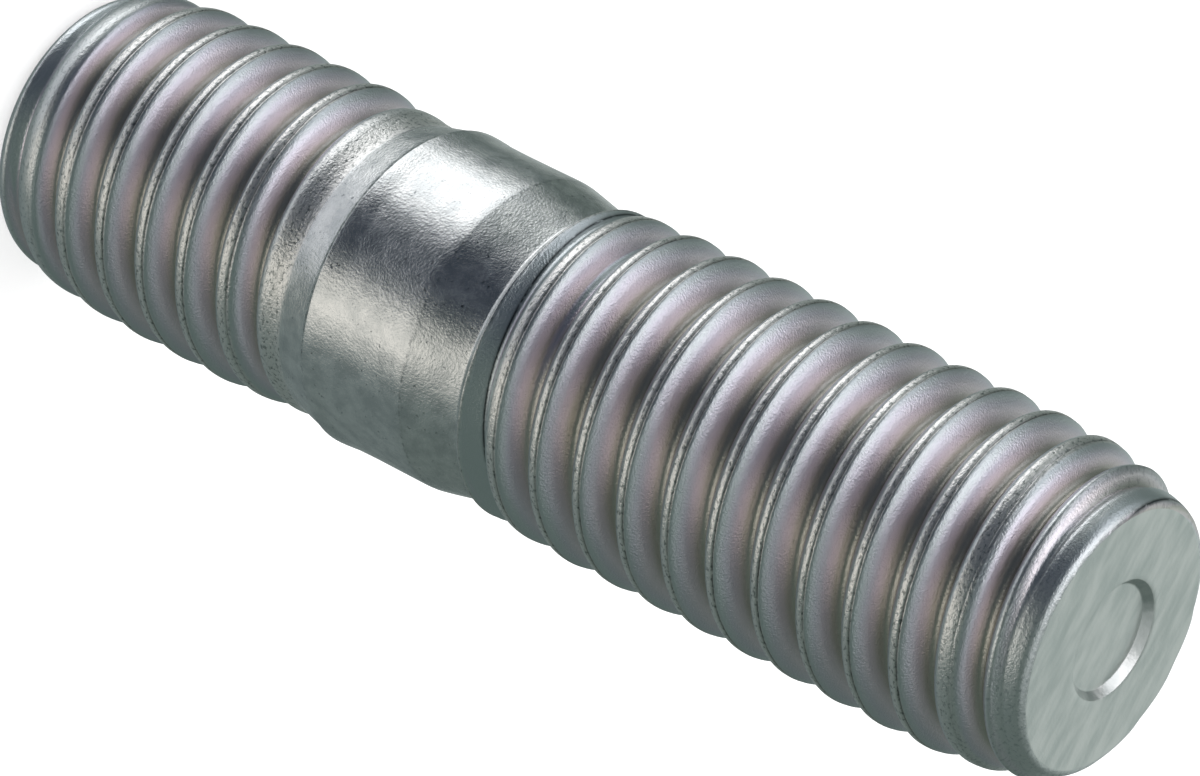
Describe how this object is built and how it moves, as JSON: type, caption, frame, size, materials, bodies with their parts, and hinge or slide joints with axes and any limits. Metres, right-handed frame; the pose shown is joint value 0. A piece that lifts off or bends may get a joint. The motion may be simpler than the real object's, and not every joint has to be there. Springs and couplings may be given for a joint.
{
  "type": "stud bolt",
  "caption": "Double-ended zinc-plated steel stud with a short tap thread, a plain swelled shank and a longer nut thread with a dimpled end face.",
  "frame": {"origin": "centre of the face of the tap end, on which the stud stands", "axes": "+Z along the stud's axis from the tap end to the nut end; X and Y fix the start angles of the two threads"},
  "size_m": [0.0078, 0.0078, 0.0298],
  "materials": {
    "zinc_plated_steel": "satin zinc plating with a clear iridescent passivate"
  },
  "bodies": {
    "root": {"stud_bolt": "zinc_plated_steel"}
  },
  "joints": []
}
